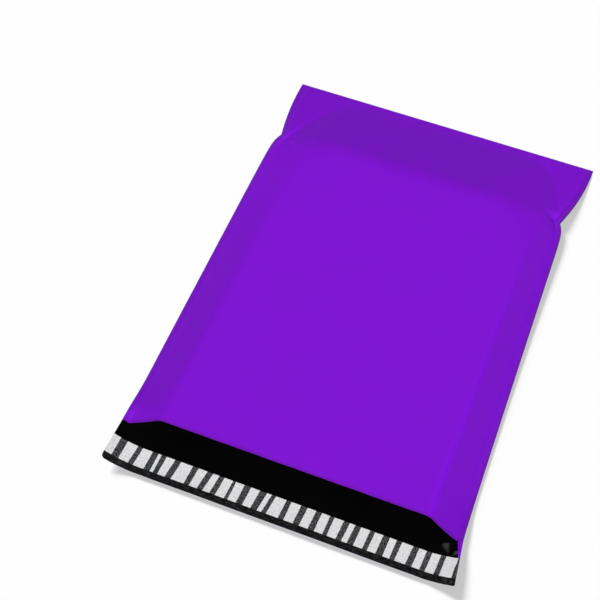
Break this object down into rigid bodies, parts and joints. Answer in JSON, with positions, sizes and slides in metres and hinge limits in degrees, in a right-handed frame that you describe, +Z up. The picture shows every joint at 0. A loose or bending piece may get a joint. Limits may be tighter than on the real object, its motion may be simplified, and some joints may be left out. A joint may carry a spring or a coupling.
{
  "type": "poly mailer",
  "caption": "Opaque plastic-film mailing pouch lying half filled out, its mouth open above a self-seal flap whose adhesive is covered by a printed peel-off liner.",
  "frame": {"origin": "on the surface that the mailer lies on, under the middle of its whole length with the flap open", "axes": "+X across the mailer, +Y from the flap's end towards the bottom fold, +Z up through the front panel"},
  "size_m": [0.25, 0.383, 0.0189],
  "materials": {
    "film": "satin purple polyethylene film, black on its inner face",
    "adhesive": "clear tacky hot-melt adhesive with a slight cream tint",
    "liner": "smooth white release film with dark grey printed bars"
  },
  "bodies": {
    "root": {"film_pouch": "film", "adhesive_strip": "adhesive", "release_liner": "liner"}
  },
  "joints": []
}
